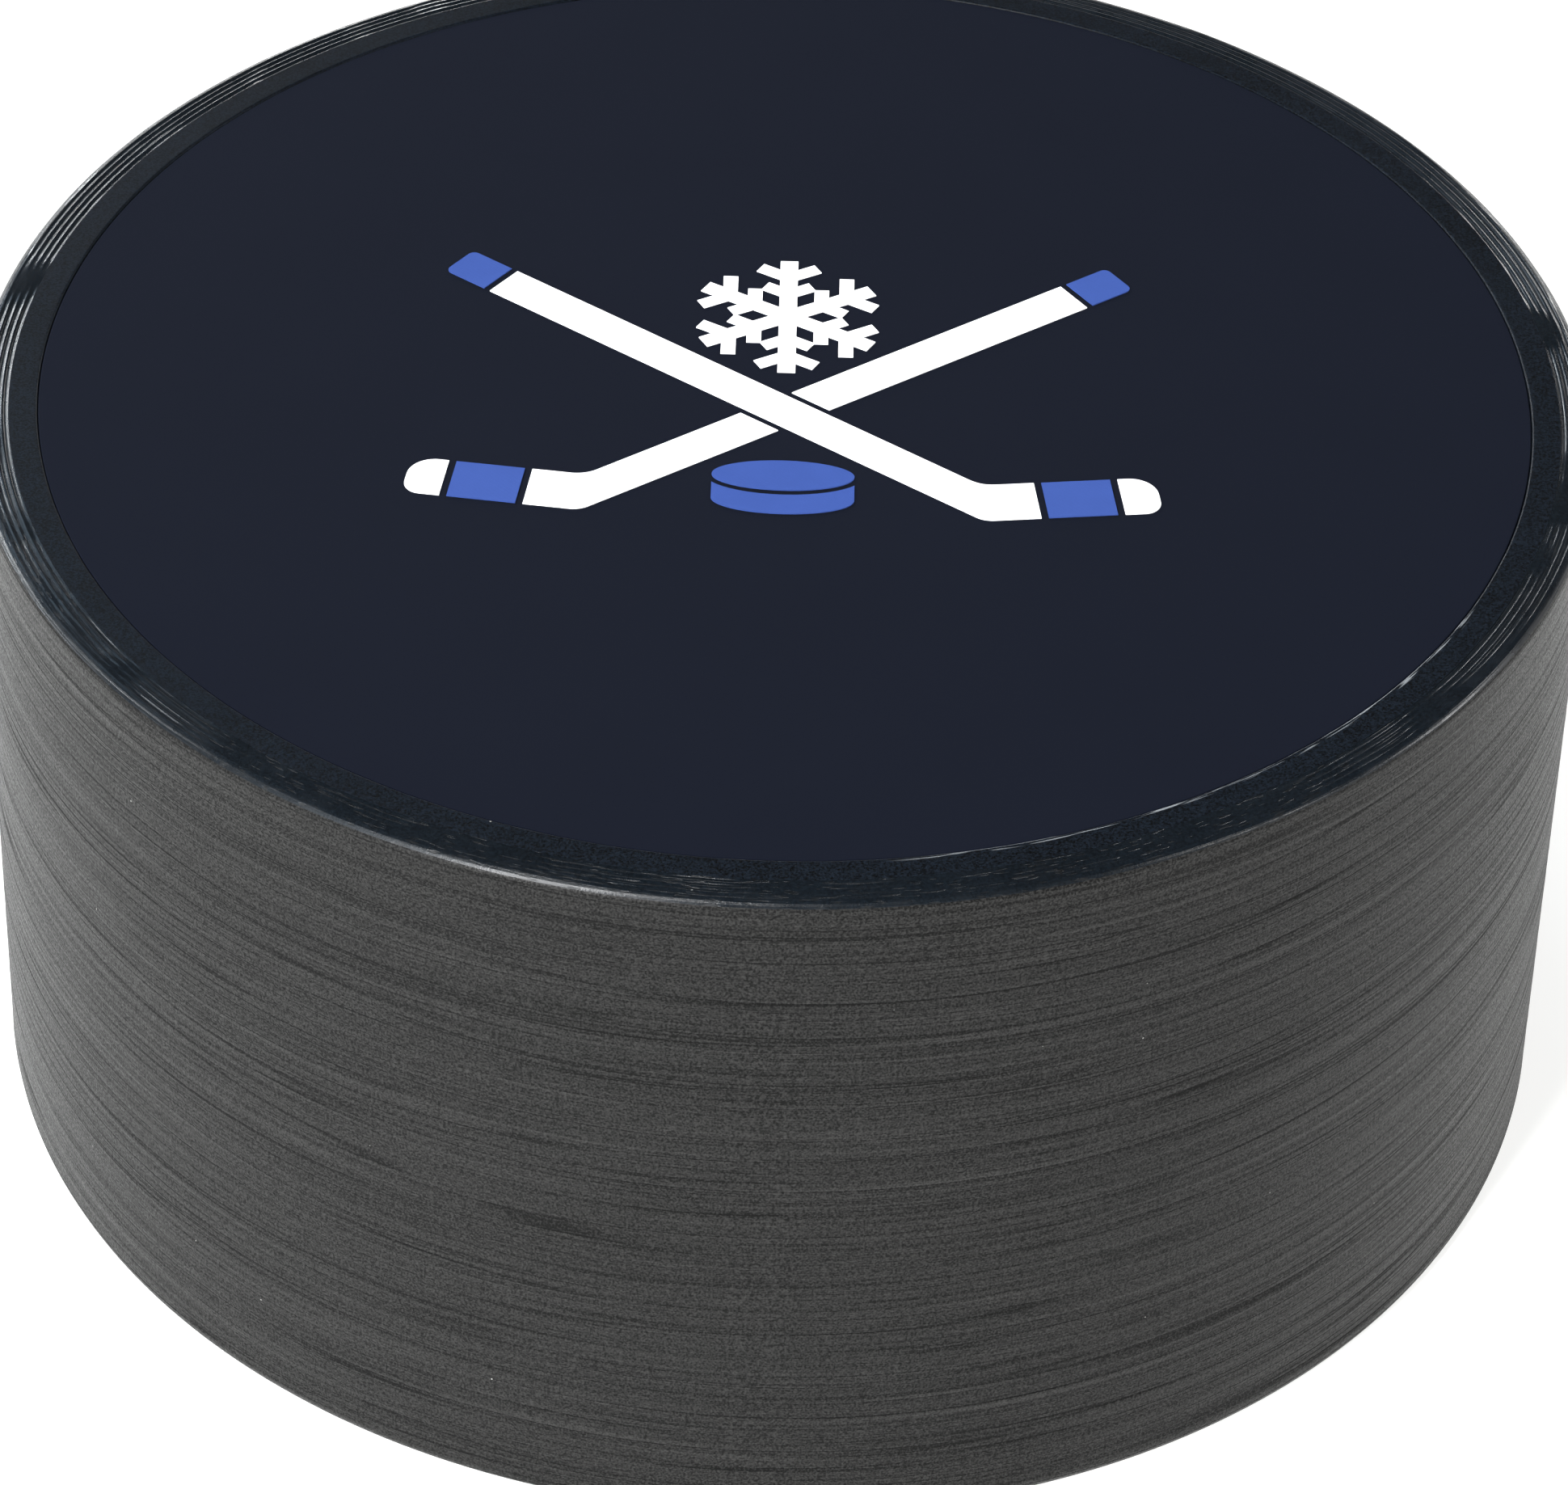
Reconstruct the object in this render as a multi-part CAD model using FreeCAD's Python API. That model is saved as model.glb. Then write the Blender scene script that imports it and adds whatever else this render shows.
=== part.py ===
"""A thick ice hockey puck with a printed disc let into its top face.

The frame has its origin at the centre of the bottom face, +Z up the puck's axis
and +Y towards the top of the printed emblem. Lengths are millimetres.
"""
import FreeCAD, Part
import math
import os

from FreeCAD import Vector

UP = Vector(0, 0, 1)
ORIGIN = Vector(0, 0, 0)
SAME = 1e-6                   # lengths closer than this are equal

# Driving dimensions of the rubber disc
PUCK_RADIUS = 38.1            # a three inch puck
PUCK_HEIGHT = 37.0
TOP_EDGE_RADIUS = 0.45
BOTTOM_EDGE_RADIUS = 0.8

# Fine rings turned near the rim of both faces
RING_COUNT = 4
RING_PITCH = 0.33
OUTER_RING_RADIUS = 37.5
RING_TOOL_RADIUS = 0.15
RING_DEPTH = 0.07

# The printed disc and the shallow recess that holds it
DISC_RADIUS = 34.95
DISC_GAP = 0.05
ADHESIVE_THICKNESS = 0.05
DISC_THICKNESS = 0.20
INK_THICKNESS = 0.05
RECESS_DEPTH = ADHESIVE_THICKNESS + DISC_THICKNESS + INK_THICKNESS
RECESS_EDGE_RADIUS = 0.12
DISC_EDGE_RADIUS = 0.06

RECESS_FLOOR = PUCK_HEIGHT - RECESS_DEPTH
DISC_FLOOR = RECESS_FLOOR + ADHESIVE_THICKNESS
PRINT_FLOOR = DISC_FLOOR + DISC_THICKNESS

# The emblem: two crossed sticks, a snowflake above them and a puck below
PRINT_GAP = 0.35              # bare disc left between two printed shapes
BUTT_END = Vector(-15.9, 9.4, 0)
HEEL = Vector(9.2, -9.0, 0)
SHAFT_WIDTH = 2.1
KNOB_LENGTH = 2.4
BLADE_LENGTH = 8.2
BLADE_WIDTH = 2.7
BLADE_RISE = 7.0              # degrees that the blade rises towards its toe
BUTT_CORNER_RADIUS = 0.35
HEEL_RADIUS = 1.2
THROAT_RADIUS = 1.6
TOE_TOP_RADIUS = 1.3
TOE_BOTTOM_RADIUS = 0.8
TAPE_START = 2.9
TAPE_LENGTH = 3.2
FLAKE_CENTRE = Vector(0, 5.5, 0)
FLAKE_RADIUS = 4.6
FLAKE_ARMS = 6
FLAKE_ARM_WIDTH = 0.85
FLAKE_BRANCH_WIDTH = 0.7
FLAKE_BRANCHES = ((0.40, 1.3), (0.70, 1.6))     # share of the arm, length
BRANCH_ANGLE = 60
ICON_CENTRE = Vector(0, -7.3, 0)
ICON_HALF_WIDTH = 3.3
ICON_HALF_DEPTH = 1.15
ICON_HEIGHT = 1.8


def export(shape, node):
    shape.exportStep(os.path.join("parts", node + ".step"))


def disc(radius, thickness, floor):
    return Part.makeCylinder(radius, thickness, Vector(0, 0, floor))


def round_edges(solid, radius, chosen):
    """The solid with a fillet on each edge that chosen() picks."""
    edges = [edge for edge in solid.Edges if chosen(edge)]
    return solid.makeFillet(radius, edges)


def circle_at(height, radius):
    """Picks the circular edge of that radius at that height."""
    def chosen(edge):
        return (isinstance(edge.Curve, Part.Circle)
                and abs(edge.Curve.Center.z - height) < SAME
                and abs(edge.Curve.Radius - radius) < SAME)
    return chosen


# ---------------------------------------------------------------- rubber disc

def ring_grooves(face_height, side):
    """The round-nosed cuts of the rings; side is 1 on the top face and -1 on the bottom."""
    centre = Vector(0, 0, face_height + side * (RING_TOOL_RADIUS - RING_DEPTH))
    return [Part.makeTorus(OUTER_RING_RADIUS - i * RING_PITCH, RING_TOOL_RADIUS, centre)
            for i in range(RING_COUNT)]


def puck_body():
    body = disc(PUCK_RADIUS, PUCK_HEIGHT, 0)
    body = round_edges(body, TOP_EDGE_RADIUS, circle_at(PUCK_HEIGHT, PUCK_RADIUS))
    body = round_edges(body, BOTTOM_EDGE_RADIUS, circle_at(0, PUCK_RADIUS))
    recess_radius = DISC_RADIUS + DISC_GAP
    body = body.cut(disc(recess_radius, RECESS_DEPTH, RECESS_FLOOR))
    body = round_edges(body, RECESS_EDGE_RADIUS, circle_at(PUCK_HEIGHT, recess_radius))
    for groove in ring_grooves(PUCK_HEIGHT, 1) + ring_grooves(0, -1):
        body = body.cut(groove)
    return body


# ---------------------------------------------------------------- printed disc

def adhesive_film():
    return disc(DISC_RADIUS, ADHESIVE_THICKNESS, RECESS_FLOOR)


def face_disc():
    plate = disc(DISC_RADIUS, DISC_THICKNESS, DISC_FLOOR)
    return round_edges(plate, DISC_EDGE_RADIUS, circle_at(PRINT_FLOOR, DISC_RADIUS))


# ---------------------------------------------------------------- emblem

def printed(face):
    """A flat shape drawn at height 0, as a layer of ink on the disc."""
    layer = face.extrude(UP * INK_THICKNESS)
    layer.translate(UP * PRINT_FLOOR)
    return layer


def strip(start, along, length, width):
    """A flat rectangle of that length and width, centred across the line it starts on."""
    across = Vector(-along.y, along.x, 0) * (width / 2)
    corners = [start - across, start + along * length - across,
               start + along * length + across, start + across]
    return Part.Face(Part.makePolygon(corners + corners[:1]))


def rounded_face(corners):
    """A flat outline with straight sides; each corner is a point and its radius."""
    edges = []
    last_end = None
    for i, (corner, radius) in enumerate(corners):
        back = Vector(corners[i - 1][0] - corner).normalize()
        ahead = Vector(corners[(i + 1) % len(corners)][0] - corner).normalize()
        half_angle = back.getAngle(ahead) / 2
        reach = radius / math.tan(half_angle)
        middle_line = Vector(back + ahead).normalize()
        nearest = middle_line * (radius / math.sin(half_angle) - radius)
        arc = Part.Arc(corner + back * reach, corner + nearest, corner + ahead * reach)
        if last_end:
            edges.append(Part.makeLine(last_end, arc.StartPoint))
        edges.append(arc.toShape())
        last_end = arc.EndPoint
    edges.append(Part.makeLine(last_end, edges[0].firstVertex().Point))
    return Part.Face(Part.Wire(edges))


def crossing(point, along, other_point, other_along):
    """Where two lines in the plane cross."""
    other_across = Vector(-other_along.y, other_along.x, 0)
    reach = (other_point - point).dot(other_across) / along.dot(other_across)
    return point + along * reach


def direction(degrees):
    return Vector(math.cos(math.radians(degrees)), math.sin(math.radians(degrees)), 0)


SHAFT_LINE = Vector(HEEL - BUTT_END).normalize()
SHAFT_LENGTH = (HEEL - BUTT_END).Length
BLADE_LINE = direction(BLADE_RISE)
SHAFT_SIDE = Vector(-SHAFT_LINE.y, SHAFT_LINE.x, 0) * (SHAFT_WIDTH / 2)
BLADE_SIDE = Vector(-BLADE_LINE.y, BLADE_LINE.x, 0) * (BLADE_WIDTH / 2)


def stick():
    """One stick: the shaft runs down to the right, and the blade lies to the right."""
    toe = HEEL + BLADE_LINE * BLADE_LENGTH
    heel = crossing(BUTT_END - SHAFT_SIDE, SHAFT_LINE, HEEL - BLADE_SIDE, BLADE_LINE)
    throat = crossing(BUTT_END + SHAFT_SIDE, SHAFT_LINE, HEEL + BLADE_SIDE, BLADE_LINE)
    return rounded_face([
        (BUTT_END - SHAFT_SIDE, BUTT_CORNER_RADIUS),
        (heel, HEEL_RADIUS),
        (toe - BLADE_SIDE, TOE_BOTTOM_RADIUS),
        (toe + BLADE_SIDE, TOE_TOP_RADIUS),
        (throat, THROAT_RADIUS),
        (BUTT_END + SHAFT_SIDE, BUTT_CORNER_RADIUS)])


def blue_zones(widen):
    """Strips over the stick's knob and its blade tape, longer by widen at each end."""
    wide = 2 * BLADE_WIDTH
    knob = strip(BUTT_END - SHAFT_LINE * widen, SHAFT_LINE, KNOB_LENGTH + 2 * widen, wide)
    tape_start = HEEL + BLADE_LINE * (TAPE_START - widen)
    return [knob, strip(tape_start, BLADE_LINE, TAPE_LENGTH + 2 * widen, wide)]


def mirrored(shape):
    return shape.mirror(ORIGIN, Vector(1, 0, 0))


def white_sticks():
    """The upper stick whole, and the lower one broken where the upper one crosses it."""
    upper = stick().cut(blue_zones(PRINT_GAP))
    upper_shaft = strip(BUTT_END, SHAFT_LINE, SHAFT_LENGTH, SHAFT_WIDTH + 2 * PRINT_GAP)
    return upper.Faces + mirrored(upper).cut(upper_shaft).Faces


def blue_sticks():
    taped = [stick().common(zone) for zone in blue_zones(0)]
    return [face for part in taped for face in part.Faces + mirrored(part).Faces]


def snowflake():
    """Six arms, each with its pairs of branches."""
    bars = []
    for i in range(FLAKE_ARMS):
        angle = 90 + i * 360 / FLAKE_ARMS
        bars.append(strip(FLAKE_CENTRE, direction(angle), FLAKE_RADIUS, FLAKE_ARM_WIDTH))
        for share, length in FLAKE_BRANCHES:
            root = FLAKE_CENTRE + direction(angle) * (FLAKE_RADIUS * share)
            for turn in (-BRANCH_ANGLE, BRANCH_ANGLE):
                bars.append(strip(root, direction(angle + turn), length, FLAKE_BRANCH_WIDTH))
    return bars[0].fuse(bars[1:]).removeSplitter().Faces


def oval(centre, half_width, half_depth):
    return Part.Face(Part.Wire(Part.Ellipse(centre, half_width, half_depth).toShape()))


def puck_icon():
    """A small puck seen from above: its oval face, and its side below a thin gap."""
    low = ICON_CENTRE - Vector(0, ICON_HEIGHT, 0)
    face = oval(ICON_CENTRE, ICON_HALF_WIDTH, ICON_HALF_DEPTH)
    middle = strip(low, Vector(0, 1, 0), ICON_HEIGHT, 2 * ICON_HALF_WIDTH)
    side = oval(low, ICON_HALF_WIDTH, ICON_HALF_DEPTH).fuse([middle, face]).removeSplitter()
    clear = oval(ICON_CENTRE, ICON_HALF_WIDTH + PRINT_GAP, ICON_HALF_DEPTH + PRINT_GAP)
    return face.Faces + side.cut(clear).Faces


def white_ink_print():
    return Part.makeCompound([printed(face) for face in white_sticks() + snowflake()])


def blue_ink_print():
    return Part.makeCompound([printed(face) for face in blue_sticks() + puck_icon()])


def main():
    os.makedirs("parts", exist_ok=True)
    for make in (puck_body, adhesive_film, face_disc, white_ink_print, blue_ink_print):
        shape = make()
        export(shape, make.__name__)
        box = shape.optimalBoundingBox()
        print(f"{make.__name__}: {len(shape.Solids)} solids, {shape.Volume:.2f} mm3, valid {shape.isValid()}, "
              f"x {box.XMin:.2f} to {box.XMax:.2f}, y {box.YMin:.2f} to {box.YMax:.2f}, "
              f"z {box.ZMin:.2f} to {box.ZMax:.2f}")


main()
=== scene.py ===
import math

import bmesh
import bpy
from mathutils import Matrix, Vector


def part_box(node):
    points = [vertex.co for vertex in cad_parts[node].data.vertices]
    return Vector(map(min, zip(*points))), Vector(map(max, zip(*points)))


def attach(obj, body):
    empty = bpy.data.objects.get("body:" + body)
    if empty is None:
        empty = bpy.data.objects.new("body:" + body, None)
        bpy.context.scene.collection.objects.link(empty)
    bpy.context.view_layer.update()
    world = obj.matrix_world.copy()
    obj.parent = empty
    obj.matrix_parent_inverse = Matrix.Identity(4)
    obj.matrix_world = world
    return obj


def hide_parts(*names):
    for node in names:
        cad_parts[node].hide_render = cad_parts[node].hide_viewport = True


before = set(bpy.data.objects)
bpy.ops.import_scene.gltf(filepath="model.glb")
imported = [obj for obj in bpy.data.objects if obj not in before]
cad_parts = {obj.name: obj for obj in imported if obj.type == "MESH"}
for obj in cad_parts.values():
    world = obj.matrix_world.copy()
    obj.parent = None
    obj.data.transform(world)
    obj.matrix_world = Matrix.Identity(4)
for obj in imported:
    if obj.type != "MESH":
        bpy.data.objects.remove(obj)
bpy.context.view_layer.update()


# ---------------------------------------------------------------- rubber body
# One solid disc of vulcanised rubber, pressed in a mould and then turned on a lathe. The
# tool left uneven lines all round the side and a few bright rings in the rim of each face.
# The flat rim inside the rings keeps the fine stipple of the mould.

MM = 0.001
body_low, body_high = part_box("puck_body")
film_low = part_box("adhesive_film")[0]
BODY_INSET = 0.01 * MM           # how much smaller the new body's radius is than the solid's
puck_radius = (body_high.y - body_low.y) / 2 - BODY_INSET
puck_height = body_high.z - body_low.z

ROUND_STEPS = 280                # straight stretches in one turn of the puck
TOP_EDGE = 0.45 * MM
BOTTOM_EDGE = 0.8 * MM
EDGE_SEGMENTS = 6
SIDE_CUTS = (15, 16)             # the side is cut into 16 bands, and each band into 17
UPRIGHT = 0.5 * MM               # an edge that rises more than this runs up the side
TINY = 0.001 * MM
RING_COUNT = 4
RING_PITCH = 0.33 * MM
OUTER_RING_RADIUS = 37.5 * MM
RING_TOOL_RADIUS = 0.15 * MM
RING_DEPTH = 0.07 * MM
RING_SEGMENTS = 6
RING_REACH = math.acos(1 - RING_DEPTH / RING_TOOL_RADIUS)
RECESS_RADIUS = 35.0 * MM
RECESS_EDGE = 0.12 * MM
FLAT_EDGE = 0.02 * MM            # a narrow step that keeps the flat beside a rounding flat
SMOOTH_BELOW = math.radians(60)  # sharper edges than this stay crisp


def deselect_all():
    if bpy.context.object and bpy.context.object.mode != "OBJECT":
        bpy.ops.object.mode_set(mode="OBJECT")
    bpy.ops.object.select_all(action="DESELECT")


def edit(piece, mode):
    """Opens the piece in edit mode with nothing selected."""
    deselect_all()
    piece.select_set(True)
    bpy.context.view_layer.objects.active = piece
    bpy.ops.object.mode_set(mode="EDIT")
    bpy.ops.mesh.select_mode(type=mode)
    bpy.ops.mesh.select_all(action="DESELECT")


def pick(piece, kind, chosen):
    """Selects only the edges or faces for which chosen(element) is true."""
    bpy.ops.mesh.select_all(action="DESELECT")
    shape = bmesh.from_edit_mesh(piece.data)
    for element in getattr(shape, kind):
        element.select_set(chosen(element))
    bmesh.update_edit_mesh(piece.data)


def lies_at(height):
    """Picks what lies flat at that height."""
    return lambda element: all(abs(v.co.z - height) < TINY for v in element.verts)


def upright(edge):
    low, high = sorted(v.co.z for v in edge.verts)
    return high - low > UPRIGHT


def step_inwards(profile):
    """Insets the selected flat face along a profile of (radius, height) points."""
    for (radius, height), (next_radius, next_height) in zip(profile, profile[1:]):
        bpy.ops.mesh.inset(thickness=radius - next_radius, depth=next_height - height)


def ring_groove(radius):
    """One round-nosed cut, from its outer edge to its inner edge, as depths below the face."""
    points = []
    for i in range(RING_SEGMENTS + 1):
        angle = RING_REACH - 2 * RING_REACH * i / RING_SEGMENTS
        depth = RING_TOOL_RADIUS * (math.cos(angle) - math.cos(RING_REACH))
        points.append((radius + RING_TOOL_RADIUS * math.sin(angle), -depth))
    return points


def rings(start_radius):
    """The profile of all the rings, from a face's rounded edge inwards."""
    profile = [(start_radius, 0)]
    for i in range(RING_COUNT):
        profile += ring_groove(OUTER_RING_RADIUS - i * RING_PITCH)
    return profile + [(profile[-1][0] - FLAT_EDGE, 0)]


def rounded_lip(radius, size):
    """The profile of a rounded edge that turns from a flat face down into a hole."""
    profile = [(radius + size + FLAT_EDGE, 0)]
    for angle in (0, 30, 60, 90):
        turn = math.radians(angle)
        profile.append((radius + size * (1 - math.sin(turn)), -size * (1 - math.cos(turn))))
    return profile


def extrude_upwards(rise):
    bpy.ops.mesh.extrude_region_move(TRANSFORM_OT_translate={"value": (0, 0, rise)})


deselect_all()
bpy.ops.mesh.primitive_cylinder_add(vertices=ROUND_STEPS, radius=puck_radius, depth=puck_height,
                                    location=(0, 0, puck_height / 2))
puck = bpy.context.object
puck.name = "puck_rubber_body"
bpy.ops.object.transform_apply(location=True)

edit(puck, "EDGE")
pick(puck, "edges", lies_at(puck_height))
bpy.ops.mesh.bevel(offset=TOP_EDGE, segments=EDGE_SEGMENTS, affect="EDGES")
pick(puck, "edges", lies_at(0))
bpy.ops.mesh.bevel(offset=BOTTOM_EDGE, segments=EDGE_SEGMENTS, affect="EDGES")
for cuts in SIDE_CUTS:
    pick(puck, "edges", upright)
    bpy.ops.mesh.subdivide(number_cuts=cuts)

bpy.ops.mesh.select_mode(type="FACE")
pick(puck, "faces", lies_at(puck_height))
step_inwards(rings(puck_radius - TOP_EDGE) + rounded_lip(RECESS_RADIUS, RECESS_EDGE))
extrude_upwards(film_low.z - (puck_height - RECESS_EDGE))
pick(puck, "faces", lies_at(0))
step_inwards(rings(puck_radius - BOTTOM_EDGE))
bpy.ops.mesh.select_all(action="SELECT")
bpy.ops.mesh.normals_make_consistent(inside=False)
deselect_all()
puck.select_set(True)
bpy.ops.object.shade_smooth_by_angle(angle=SMOOTH_BELOW)


SIDE_FADE = 0.3 * MM             # the side's wear fades out this close to its edges
EDGE_WEAR_START = 36.8 * MM      # the top edge's wear starts here and is full after its fade
EDGE_WEAR_FADE = 0.7 * MM
WORN_STRETCHES = ((-73, -57), (-45, 46))        # worn away rings, in degrees right of the front
WORN_FADE = 4


def from_axis(point):
    return math.hypot(point.x, point.y)


def marked(piece, name, weight):
    """A named group of the piece's points; weight(point) is 0 to 1."""
    group = piece.vertex_groups.new(name=name)
    for vertex in piece.data.vertices:
        amount = weight(vertex.co)
        if amount > 0:
            group.add([vertex.index], amount, "REPLACE")


def clouds(name, detail, low=0.0, high=1.0):
    """A cloudy pattern that is 0 up to its low value and 1 from its high value."""
    pattern = bpy.data.textures.new(name, "CLOUDS")
    pattern.noise_scale = 1.0
    pattern.noise_depth = detail
    pattern.use_color_ramp = True
    for stop, place, tone in zip(pattern.color_ramp.elements, (low, high), (0, 1)):
        stop.position = place
        stop.color = (tone, tone, tone, 1)
    return pattern


def wear(piece, group, pattern, grain, push, direction, mid_level=0.0, tilt=(0, 0)):
    """Pushes the grouped points by up to push, in a pattern whose grain is (x, y, z) long."""
    guide = bpy.data.objects.new("guide", None)
    bpy.context.scene.collection.objects.link(guide)
    guide.scale = grain
    guide.rotation_euler = (math.radians(tilt[0]), math.radians(tilt[1]), 0)
    bpy.context.view_layer.update()
    deselect_all()
    bpy.context.view_layer.objects.active = piece
    change = piece.modifiers.new(group, "DISPLACE")
    change.vertex_group = group
    change.texture = pattern
    change.texture_coords = "OBJECT"
    change.texture_coords_object = guide
    change.direction = direction
    change.mid_level = mid_level
    change.strength = push
    bpy.ops.object.modifier_apply(modifier=change.name)
    bpy.data.objects.remove(guide)


def on_side(point):
    """1 on the turned side, fading to 0 at its two edges."""
    if from_axis(point) < puck_radius - BODY_INSET:
        return 0
    reach = min(point.z - BOTTOM_EDGE, puck_height - TOP_EDGE - point.z)
    return max(0, min(1, reach / SIDE_FADE))


def in_groove(point):
    """How deep a point lies in a ring of the top face, as a share of the ring's depth."""
    inner = OUTER_RING_RADIUS - RING_COUNT * RING_PITCH
    if point.z < puck_height / 2 or not inner < from_axis(point) < puck_radius - TOP_EDGE:
        return 0
    return max(0, min(1, (puck_height - point.z) / RING_DEPTH))


def in_worn_groove(point):
    """The same, along the stretches where the rings are worn away, and 0 elsewhere."""
    turn = math.degrees(math.atan2(point.x, -point.y))
    reach = max(min(turn - start, end - turn) for start, end in WORN_STRETCHES)
    return in_groove(point) * max(0, min(1, reach / WORN_FADE))


def in_kept_groove(point):
    """The same, along the rest of the rings, and 0 where they are worn away."""
    return in_groove(point) - in_worn_groove(point)


def on_top_edge(point):
    """1 on the rounded top edge, fading to 0 on the rings inside it."""
    if point.z < puck_height - TOP_EDGE - SIDE_FADE:
        return 0
    return max(0, min(1, (from_axis(point) - EDGE_WEAR_START) / EDGE_WEAR_FADE))


def on_recess_lip(point):
    """1 on the rounded lip of the recess that holds the disc."""
    drop = puck_height - point.z
    near = RECESS_RADIUS - FLAT_EDGE < from_axis(point) < RECESS_RADIUS + RECESS_EDGE
    return 1 if near and TINY < drop < 1.1 * RECESS_EDGE else 0


marked(puck, "turned_side", on_side)
marked(puck, "top_rings", in_kept_groove)
marked(puck, "worn_rings", in_worn_groove)
marked(puck, "top_edge", on_top_edge)
marked(puck, "recess_lip", on_recess_lip)
wear(puck, "turned_side", clouds("tool_chatter", 1), (45 * MM, 45 * MM, 0.45 * MM),
     0.018 * MM, "NORMAL", mid_level=1, tilt=(0.12, -0.08))
wear(puck, "turned_side", clouds("tool_marks", 0, 0.3, 0.7), (40 * MM, 40 * MM, 0.27 * MM),
     0.02 * MM, "NORMAL", mid_level=1, tilt=(-0.1, 0.09))
wear(puck, "top_rings", clouds("ring_wear", 0, 0.64, 0.72), (3 * MM, 3 * MM, 3 * MM), RING_DEPTH, "Z")
wear(puck, "worn_rings", clouds("front_wear", 1, 0.28, 0.40), (2 * MM, 2 * MM, 2 * MM), RING_DEPTH, "Z")
wear(puck, "top_edge", clouds("edge_wear", 1), (5 * MM, 5 * MM, 1.5 * MM), -0.04 * MM, "NORMAL")
wear(puck, "recess_lip", clouds("lip_wear", 1), (1.5 * MM, 1.5 * MM, 1.5 * MM), -0.03 * MM, "NORMAL")


def add(tree, kind, inputs=None, **settings):
    """A node of that kind, with its settings and the values or sockets that feed it."""
    made = tree.nodes.new("ShaderNode" + kind)
    for name, value in settings.items():
        setattr(made, name, value)
    for name, value in (inputs or {}).items():
        if isinstance(value, bpy.types.NodeSocket):
            tree.links.new(value, made.inputs[name])
        else:
            made.inputs[name].default_value = value
    return made


def new_finish(name):
    """An empty material with its shader and its object coordinates."""
    finish = bpy.data.materials.new(name)
    finish.use_nodes = True
    tree = finish.node_tree
    tree.nodes.clear()
    shader = add(tree, "BsdfPrincipled")
    output = add(tree, "OutputMaterial")
    tree.links.new(shader.outputs["BSDF"], output.inputs["Surface"])
    place = add(tree, "TexCoord").outputs["Object"]
    return finish, tree, shader, place


def noise(tree, place, size, detail=2.0, roughness=0.5, shift=0.0):
    """Noise from 0 to 1 whose lumps are size = (x, y, z) metres."""
    scaled = add(tree, "Mapping", {"Vector": place, "Scale": tuple(1 / s for s in size),
                                   "Location": (shift, shift, shift)})
    made = add(tree, "TexNoise", {"Vector": scaled.outputs[0], "Scale": 1.0, "Detail": detail,
                                  "Roughness": roughness})
    return made.outputs["Fac"]


def even_noise(tree, place, size, detail=2.0, roughness=0.5):
    """Noise whose lumps are as long as they are wide."""
    return noise(tree, place, (size, size, size), detail, roughness)


def spread(tree, value, low, high, to_low=0.0, to_high=1.0):
    """The value's range low to high, stretched to another range and clamped."""
    made = add(tree, "MapRange", {0: value, 1: low, 2: high, 3: to_low, 4: to_high})
    return made.outputs[0]


def vary(tree, value, to_low, to_high):
    """The usual range of a noise, 0.3 to 0.7, stretched to another range."""
    return spread(tree, value, 0.3, 0.7, to_low, to_high)


def coordinate(tree, place, axis):
    return add(tree, "SeparateXYZ", {0: place}).outputs[axis]


def maths(tree, operation, first, second):
    return add(tree, "Math", {0: first, 1: second}, operation=operation).outputs[0]


def times(tree, first, second):
    return maths(tree, "MULTIPLY", first, second)


def sums(tree, first, *others):
    total = first
    for other in others:
        total = maths(tree, "ADD", total, other)
    return total


def blend_colours(tree, share, first, second):
    made = add(tree, "Mix", {0: share, 6: first, 7: second}, data_type="RGBA")
    return made.outputs[2]


def shaded(tree, colour, tone):
    """The colour made lighter or darker by a tone whose middle is 1."""
    made = add(tree, "VectorMath", {0: colour, 3: tone}, operation="SCALE")
    return made.outputs[0]


def specks(tree, place, cell, radius, share):
    """1 on a few round specks: one in each cell, of which only a share is kept."""
    cells = add(tree, "TexVoronoi", {"Vector": place, "Scale": 1 / cell, "Randomness": 1.0})
    near = spread(tree, cells.outputs["Distance"], radius / cell, 0.6 * radius / cell)
    chance = add(tree, "SeparateColor", {0: cells.outputs["Color"]}).outputs[0]
    kept = spread(tree, chance, 1 - share, 1 - share + 0.001)
    return times(tree, near, kept)


LINE_LEVEL = 0.47                # the level of the noise that the thin lines follow


def thin_lines(tree, place, length, gap, width, shift):
    """1 on thin lines about length long and gap apart, where a drawn-out noise passes a level."""
    drawn_out = noise(tree, place, (length, length, gap), detail=0, shift=shift)
    off_line = maths(tree, "ABSOLUTE", maths(tree, "SUBTRACT", drawn_out, LINE_LEVEL), 0.0)
    return spread(tree, off_line, width, 0.3 * width)


def relief(tree, shader, height, depth):
    """Makes the surface look raised by depth where the height is 1."""
    bump = add(tree, "Bump", {"Height": height, "Distance": depth, "Strength": 1.0})
    tree.links.new(bump.outputs[0], shader.inputs["Normal"])


SIDE_GREY = (0.0092, 0.0091, 0.0088)
DUST = (0.22, 0.22, 0.21, 1)
DUST_CELL = 1.1 * MM
DUST_RADIUS = 0.05 * MM
SIDE_DUST = 0.06                 # the share of the cells that hold a speck
FACE_DUST = 0.08


def dusted(tree, place, colour, share):
    """The colour with a few pale specks of dust on it."""
    return blend_colours(tree, specks(tree, place, DUST_CELL, DUST_RADIUS, share), colour, DUST)


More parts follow.
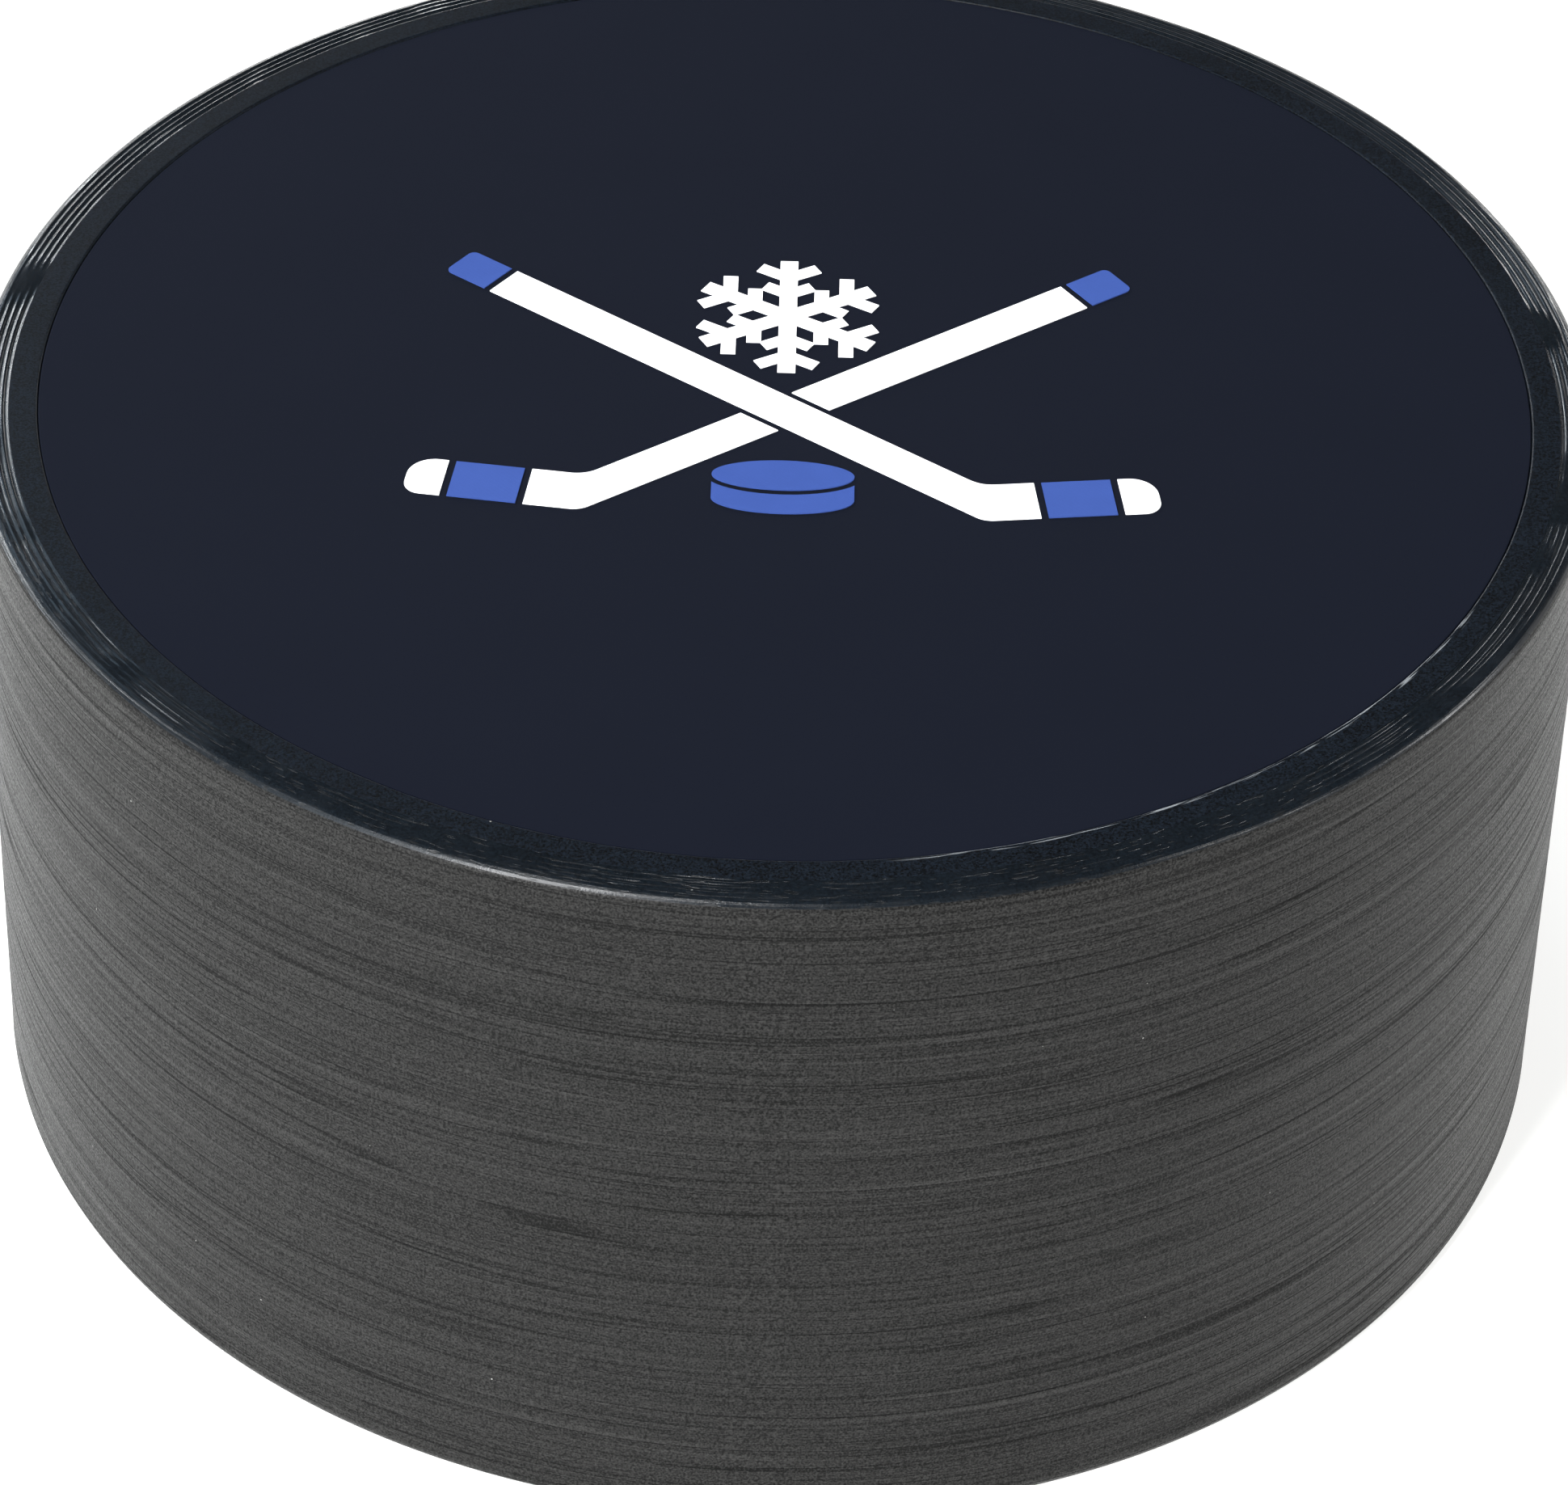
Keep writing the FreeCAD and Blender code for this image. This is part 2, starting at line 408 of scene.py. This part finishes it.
def turned_rubber():
    """The turned side: long crisp tool lines over a fine dull grain, with painted shade darkening the
    cuts and a few painted highlight lines.
    """
    finish, tree, shader, place = new_finish("turned_rubber")
    axes = add(tree, "SeparateXYZ", {0: place}).outputs
    wander = noise(tree, place, (35 * MM, 35 * MM, 9 * MM), detail=1)
    height = maths(tree, "ADD", axes["Z"], vary(tree, wander, -0.12 * MM, 0.12 * MM))
    turned = add(tree, "CombineXYZ", {0: axes["X"], 1: axes["Y"], 2: height}).outputs[0]
    broad = noise(tree, turned, (60 * MM, 60 * MM, 2.0 * MM), detail=1)
    fine = noise(tree, turned, (40 * MM, 40 * MM, 0.16 * MM), detail=2, roughness=0.6)
    force = noise(tree, turned, (25 * MM, 25 * MM, 0.9 * MM), detail=1, shift=9.4)
    deep = thin_lines(tree, turned, 60 * MM, 0.55 * MM, 0.028, 3.1)
    hair_cut_shade = thin_lines(tree, turned, 50 * MM, 0.30 * MM, 0.036, 7.7)
    bright = noise(tree, turned, (20 * MM, 20 * MM, 0.3 * MM), detail=0, shift=12.3)
    grain = even_noise(tree, place, 0.10 * MM, detail=1)
    # The tool cuts carry painted shade: their colour is made much darker where shade would fall in
    # them.
    deep_cut_shade = times(tree, deep, spread(tree, force, 0.38, 0.60, 0.6, 1))
    # A few thin pale lines along the turning are painted highlights.
    painted_highlight_line = spread(tree, bright, 0.72, 0.76)
    tone = sums(tree, vary(tree, broad, 0.98, 1.04),
                vary(tree, fine, -0.50, 0.50),
                times(tree, deep_cut_shade, -0.95),
                times(tree, hair_cut_shade, -0.60),
                times(tree, painted_highlight_line, 0.50),
                vary(tree, grain, -1.2, 1.2))
    clean = shaded(tree, SIDE_GREY, tone)
    tree.links.new(dusted(tree, place, clean, SIDE_DUST), shader.inputs["Base Color"])
    gloss = sums(tree, vary(tree, fine, 0.46, 0.38), times(tree, deep_cut_shade, 0.18),
                 times(tree, hair_cut_shade, 0.14), vary(tree, grain, 0.10, -0.10))
    tree.links.new(gloss, shader.inputs["Roughness"])
    ridges = sums(tree, spread(tree, fine, 0.2, 0.8, 0, 0.6), spread(tree, grain, 0.2, 0.8, 0, 0.45),
                  times(tree, deep_cut_shade, -1.0), times(tree, hair_cut_shade, -0.3))
    relief(tree, shader, ridges, 0.012 * MM)
    shader.inputs["Specular IOR Level"].default_value = 0.14
    return finish


# The faces are the same rubber as the grey side; their darker navy colours are painted shade with a
# painted bluish reflection.
RING_SHADED_NAVY = (0.0025, 0.0040, 0.0058)
FACE_SHADED_NAVY = (0.0029, 0.0043, 0.0065)
LIP_PAINTED_GLINTS = (8, 64)             # the painted glints on the rubber by the disc, in degrees right of the front
# the colour of the painted glints by the disc
PAINTED_GLINT = (0.15, 0.16, 0.17, 1)


def round_the_axis(tree, place):
    """Coordinates that follow the rim: way round from the front, way out, and height."""
    axes = add(tree, "SeparateXYZ", {0: place}).outputs
    turn = maths(tree, "ARCTAN2", axes["X"], times(tree, axes["Y"], -1))
    way_round = times(tree, turn, puck_radius)
    level = add(tree, "CombineXYZ", {0: axes["X"], 1: axes["Y"], 2: 0.0}).outputs[0]
    way_out = add(tree, "VectorMath", {0: level}, operation="LENGTH").outputs["Value"]
    return add(tree, "CombineXYZ", {0: way_round, 1: way_out, 2: axes["Z"]}).outputs[0]


def stretch(tree, way_round, start, end):
    """1 along a stretch of the rim, from start to end degrees to the right of the front."""
    rise, begin, stop, fall = (math.radians(turn) * puck_radius for turn in
                               (start, start + WORN_FADE, end - WORN_FADE, end))
    return times(tree, spread(tree, way_round, rise, begin), spread(tree, way_round, fall, stop))


def ringed_rubber():
    """Where the tool cut the rings and the edge: smooth, and dark with painted shade, then with scuffs
    and nicks.
    """
    finish, tree, shader, place = new_finish("ringed_rubber")
    along = round_the_axis(tree, place)
    way_round = coordinate(tree, along, "X")
    worn = sums(tree, *[stretch(tree, way_round, *ends) for ends in WORN_STRETCHES])
    stipple = even_noise(tree, place, 0.13 * MM, detail=2, roughness=0.6)
    scuffs = even_noise(tree, place, 1.4 * MM, detail=2)
    patches = even_noise(tree, place, 6 * MM, detail=1)
    dashes = noise(tree, along, (0.9 * MM, 0.13 * MM, 0.5 * MM), detail=1, shift=5.3)
    nicked = times(tree, spread(tree, dashes, 0.60, 0.68), spread(tree, worn, 0, 1, 0.15, 1))
    tone = sums(tree, vary(tree, patches, 0.9, 1.2), vary(tree, stipple, -0.5, 0.5),
                times(tree, nicked, -0.5))
    clean = shaded(tree, RING_SHADED_NAVY, tone)
    tree.links.new(dusted(tree, place, clean, FACE_DUST), shader.inputs["Base Color"])
    streaks = noise(tree, along, (16 * MM, 0.12 * MM, 0.12 * MM), detail=1)
    height = coordinate(tree, place, "Z")
    on_edge = spread(tree, height, puck_height - 0.01 * MM, puck_height - 0.04 * MM)
    gloss = sums(tree, vary(tree, scuffs, 0.13, 0.23), times(tree, nicked, 0.15),
                 times(tree, on_edge, 0.10))
    tree.links.new(gloss, shader.inputs["Roughness"])
    edge_lines = times(tree, vary(tree, streaks, 0, 1.4), on_edge)
    teeth = times(tree, spread(tree, stipple, 0.2, 0.8), spread(tree, worn, 0, 1, 0.12, 0.5))
    nicks = times(tree, nicked, -0.7)
    relief(tree, shader, sums(tree, teeth, nicks, edge_lines), 0.01 * MM)
    shader.inputs["Specular IOR Level"].default_value = 0.30
    return finish


def moulded_rubber():
    """The flat faces as they left the mould: a fine dark stipple on a navy of painted shade, dull all
    over, with painted glints by the disc.
    """
    finish, tree, shader, place = new_finish("moulded_rubber")
    along = round_the_axis(tree, place)
    stipple = even_noise(tree, place, 0.11 * MM, detail=2, roughness=0.7)
    patches = even_noise(tree, place, 6 * MM, detail=1)
    tone = sums(tree, spread(tree, stipple, 0.35, 0.65, 0.0, 2.1), vary(tree, patches, -0.1, 0.1))
    clean = shaded(tree, FACE_SHADED_NAVY, tone)
    way_round = coordinate(tree, along, "X")
    way_out = coordinate(tree, along, "Y")
    by_disc = spread(tree, way_out, RECESS_RADIUS + 0.32 * MM, RECESS_RADIUS + 0.22 * MM)
    # Pale broken dashes on the rubber by the disc are painted glints.
    dashes = noise(tree, along, (2.6 * MM, 0.12 * MM, 0.5 * MM), detail=1, shift=2.2)
    glint_stretch = times(tree, by_disc, stretch(tree, way_round, *LIP_PAINTED_GLINTS))
    painted_glints = times(tree, glint_stretch, spread(tree, dashes, 0.52, 0.60))
    rubber_with_painted_glints = blend_colours(tree, painted_glints, clean, PAINTED_GLINT)
    tree.links.new(dusted(tree, place, rubber_with_painted_glints, FACE_DUST), shader.inputs["Base Color"])
    tree.links.new(vary(tree, stipple, 0.42, 0.32), shader.inputs["Roughness"])
    relief(tree, shader, stipple, 0.006 * MM)
    shader.inputs["Specular IOR Level"].default_value = 0.055
    return finish


TURNED_TOP = puck_height - 0.27 * MM            # the turned finish lies between these heights
TURNED_BOTTOM = 0.3 * MM
RING_START = 36.37 * MM          # just inside the innermost ring


def face_place(face):
    """How far the middle of a face is from the axis, and its height."""
    middle = face.calc_center_median()
    return math.hypot(middle.x, middle.y), middle.z


def on_turned_band(face):
    """Picks the side's faces, and the parts of its rounded edges that lie next to them."""
    radius, height = face_place(face)
    return radius > OUTER_RING_RADIUS and TURNED_BOTTOM < height < TURNED_TOP


def on_ring_band(face):
    """Picks the turned rings of both faces, and the edges outside them."""
    radius, height = face_place(face)
    return radius > RING_START and not TURNED_BOTTOM < height < TURNED_TOP


puck.data.materials.clear()
for finish in (moulded_rubber(), turned_rubber(), ringed_rubber()):
    puck.data.materials.append(finish)
edit(puck, "FACE")
for slot, chosen in ((1, on_turned_band), (2, on_ring_band)):
    pick(puck, "faces", chosen)
    puck.active_material_index = slot
    bpy.ops.object.material_slot_assign()
deselect_all()
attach(puck, "root")
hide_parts("puck_body")


# ---------------------------------------------------------------- printed disc
# A thin plastic disc, printed matt navy and pressed into the shallow recess of the top
# face. It is punched out with a slightly rounded edge and lies level with the rim.

disc_low, disc_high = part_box("face_disc")
DISC_CLEARANCE = 0.01 * MM
DISC_EDGE = 0.06 * MM
DISC_EDGE_SEGMENTS = 3
DISC_NAVY = (0.00446, 0.00564, 0.01025)

disc_radius = RECESS_RADIUS - DISC_CLEARANCE
disc_thickness = disc_high.z - disc_low.z
deselect_all()
bpy.ops.mesh.primitive_cylinder_add(vertices=ROUND_STEPS, radius=disc_radius, depth=disc_thickness,
                                    location=(0, 0, disc_low.z + disc_thickness / 2))
disc = bpy.context.object
disc.name = "navy_face_disc"
bpy.ops.object.transform_apply(location=True)
edit(disc, "EDGE")
pick(disc, "edges", lies_at(disc_high.z))
bpy.ops.mesh.bevel(offset=DISC_EDGE, segments=DISC_EDGE_SEGMENTS, affect="EDGES")
bpy.ops.mesh.select_mode(type="FACE")
pick(disc, "faces", lies_at(disc_high.z))
bpy.ops.mesh.inset(thickness=FLAT_EDGE)
deselect_all()
disc.select_set(True)
bpy.ops.object.shade_smooth_by_angle(angle=SMOOTH_BELOW)


def printed_film():
    """Matt printed plastic: an even colour with a faint cloudiness and a very fine tooth."""
    finish, tree, shader, place = new_finish("navy_film")
    cloud = even_noise(tree, place, 7 * MM, detail=2)
    tooth = even_noise(tree, place, 0.08 * MM, detail=1)
    tone = sums(tree, vary(tree, cloud, 0.98, 1.02), vary(tree, tooth, -0.015, 0.015))
    tree.links.new(shaded(tree, DISC_NAVY, tone), shader.inputs["Base Color"])
    tree.links.new(vary(tree, tooth, 0.78, 0.70), shader.inputs["Roughness"])
    shader.inputs["Specular IOR Level"].default_value = 0.02
    relief(tree, shader, tooth, 0.001 * MM)
    return finish


disc.data.materials.clear()
disc.data.materials.append(printed_film())
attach(disc, "root")
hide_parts("face_disc")


# ---------------------------------------------------------------- adhesive film
# A thin film of clear acrylic adhesive that holds the disc in its recess. It is soft and
# glossy, with tiny trapped bubbles, and lies at the bottom of the gap round the disc.

CLEAR_OVER_RUBBER = (0.018, 0.018, 0.020)


def clear_adhesive():
    """Clear adhesive over black rubber: glossy, a little cloudy, with small bubbles."""
    finish, tree, shader, place = new_finish("clear_adhesive")
    cloud = even_noise(tree, place, 1.5 * MM, detail=3)
    bubbles = specks(tree, place, 0.5 * MM, 0.12 * MM, 0.5)
    tone = sums(tree, vary(tree, cloud, 0.8, 1.2), times(tree, bubbles, 0.6))
    tree.links.new(shaded(tree, CLEAR_OVER_RUBBER, tone), shader.inputs["Base Color"])
    tree.links.new(vary(tree, cloud, 0.22, 0.36), shader.inputs["Roughness"])
    relief(tree, shader, bubbles, 0.004 * MM)
    return finish


def refinish(node, finish):
    """Gives one of the solids its finish."""
    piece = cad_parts[node]
    piece.data.materials.clear()
    piece.data.materials.append(finish)


refinish("adhesive_film", clear_adhesive())


# ---------------------------------------------------------------- white ink
# The first screen pass: the white sticks and the snowflake, in opaque matt ink. The screen's
# mesh leaves a very faint tooth in the ink, and the layer is a little thinner in places.

WHITE_INK = (0.90, 0.90, 0.90)


def screen_ink(name, colour):
    """Opaque matt ink that was pushed through a fine woven screen."""
    finish, tree, shader, place = new_finish(name)
    threads = add(tree, "TexWave", {"Vector": place, "Scale": 1 / (0.45 * MM), "Distortion": 0.6},
                  bands_direction="DIAGONAL").outputs["Fac"]
    cover = even_noise(tree, place, 1.8 * MM, detail=3)
    tooth = even_noise(tree, place, 0.07 * MM, detail=1)
    tone = sums(tree, vary(tree, cover, 0.97, 1.02), vary(tree, tooth, -0.015, 0.015))
    tree.links.new(shaded(tree, colour, tone), shader.inputs["Base Color"])
    tree.links.new(vary(tree, cover, 0.66, 0.56), shader.inputs["Roughness"])
    relief(tree, shader, sums(tree, threads, tooth), 0.001 * MM)
    shader.inputs["Specular IOR Level"].default_value = 0.02
    return finish


refinish("white_ink_print", screen_ink("white_ink", WHITE_INK))


# ---------------------------------------------------------------- blue ink
# The second screen pass: the knobs and blade tape of the sticks, and the small puck. It is
# the same kind of opaque ink, and lies beside the white with a thin gap of bare disc.

BLUE_INK = (0.0308, 0.0592, 0.2128)

refinish("blue_ink_print", screen_ink("blue_ink", BLUE_INK))


# ---------------------------------------------------------------- camera
# A long lens in front of the puck that looks down on it, close enough for the puck to fill
# the frame. It is rolled a little, so that the puck leans slightly to one side.

camera_data = bpy.data.cameras.new("camera")
camera = bpy.data.objects.new("camera", camera_data)
bpy.context.scene.collection.objects.link(camera)
camera_data.sensor_width = 36
camera_data.lens = 146.75
CAMERA_LIFT = math.radians(38.75)               # above the table
CAMERA_ROLL = math.radians(1.628)
CAMERA_AWAY = 323.8 * MM
CAMERA_RAISED = 11.96 * MM       # how far the lens axis passes above the puck's base
CAMERA_ASIDE = 0.39 * MM
camera_back = Vector((0, -math.cos(CAMERA_LIFT), math.sin(CAMERA_LIFT)))
camera_up = Vector((0, math.sin(CAMERA_LIFT), math.cos(CAMERA_LIFT)))
camera_turn = Matrix.Rotation(math.pi / 2 - CAMERA_LIFT, 4, "X") @ Matrix.Rotation(CAMERA_ROLL, 4, "Z")
camera_place = camera_back * CAMERA_AWAY + camera_up * CAMERA_RAISED + Vector((CAMERA_ASIDE, 0, 0))
camera.matrix_world = Matrix.Translation(camera_place) @ camera_turn
bpy.context.scene.camera = camera


# ---------------------------------------------------------------- floor
# A large table covered with pale paper and lit from below as well, so that it stays white
# right up to the puck and the puck's shadow is faint.

FLOOR_ACROSS = 8
PAPER = (0.42, 0.42, 0.41, 1)
PAPER_GLOW = (1, 1, 0.99, 1)
GLOW_STRENGTH = 0.75

deselect_all()
bpy.ops.mesh.primitive_plane_add(size=FLOOR_ACROSS)
floor = bpy.context.object
floor.name = "floor"
paper, tree, shader, place = new_finish("paper")
shader.inputs["Base Color"].default_value = PAPER
shader.inputs["Roughness"].default_value = 0.9
shader.inputs["Emission Color"].default_value = PAPER_GLOW
shader.inputs["Emission Strength"].default_value = GLOW_STRENGTH
floor.data.materials.append(paper)


# ---------------------------------------------------------------- light
# Softboxes round the table. The tall strip at the front left draws the bright line along the
# front edge, and the small ones draw the glints in the rings. The far top stays dark, so that
# the printed face has no glare.

LAMP_AWAY = 0.9


def softbox(name, azimuth, rise, width, height, brightness, colour=(1, 1, 1)):
    """A lamp of that width and height that faces the puck from that azimuth and rise."""
    data = bpy.data.lights.new(name, "AREA")
    data.shape = "RECTANGLE"
    data.size = width
    data.size_y = height
    data.energy = brightness * math.pi * width * height
    data.color = colour
    lamp = bpy.data.objects.new(name, data)
    bpy.context.scene.collection.objects.link(lamp)
    turn = math.radians(azimuth)
    lift = math.radians(rise)
    away = Vector((math.cos(turn) * math.cos(lift), math.sin(turn) * math.cos(lift), math.sin(lift)))
    lamp.location = away * LAMP_AWAY
    lamp.rotation_euler = away.to_track_quat("Z", "Y").to_euler()
    lamp.visible_camera = False


softbox("front_left_strip", 239, 37, 0.16, 1.20, 38)
softbox("front_left_sheet", 224, 34, 0.50, 0.80, 3.5, (0.85, 0.93, 1))
softbox("back_left_sheet", 120, 37, 0.30, 0.30, 2, (0.60, 0.80, 1))
softbox("back_left_strip", 136, 20, 0.90, 0.08, 28, (0.93, 0.97, 1))
softbox("left_box", 168, 36, 0.16, 0.08, 60, (0.93, 0.97, 1))
softbox("back_box", 101, 9, 0.20, 0.07, 18)
softbox("back_right_box", 66, 15, 0.12, 0.12, 14)
softbox("right_box", 8, 26, 0.14, 0.16, 26)
softbox("front_right_box", 335, 30, 0.22, 0.20, 14, (1, 0.98, 0.94))

world = bpy.data.worlds.new("studio")
bpy.context.scene.world = world
world.use_nodes = True
tree = world.node_tree
sky = add(tree, "TexCoord").outputs["Generated"]
up = coordinate(tree, sky, "Z")
ramp = add(tree, "ValToRGB", {0: up})
ramp.color_ramp.elements[0].position = 0.0
ramp.color_ramp.elements[0].color = (1.8, 1.8, 1.8, 1)
ramp.color_ramp.elements[1].position = 0.5
ramp.color_ramp.elements[1].color = (0.10, 0.10, 0.105, 1)
middle = ramp.color_ramp.elements.new(0.18)
middle.color = (0.45, 0.45, 0.46, 1)
tree.links.new(ramp.outputs[0], tree.nodes["Background"].inputs["Color"])
tree.nodes["Background"].inputs["Strength"].default_value = 1.0
bpy.context.scene.view_settings.view_transform = "Standard"
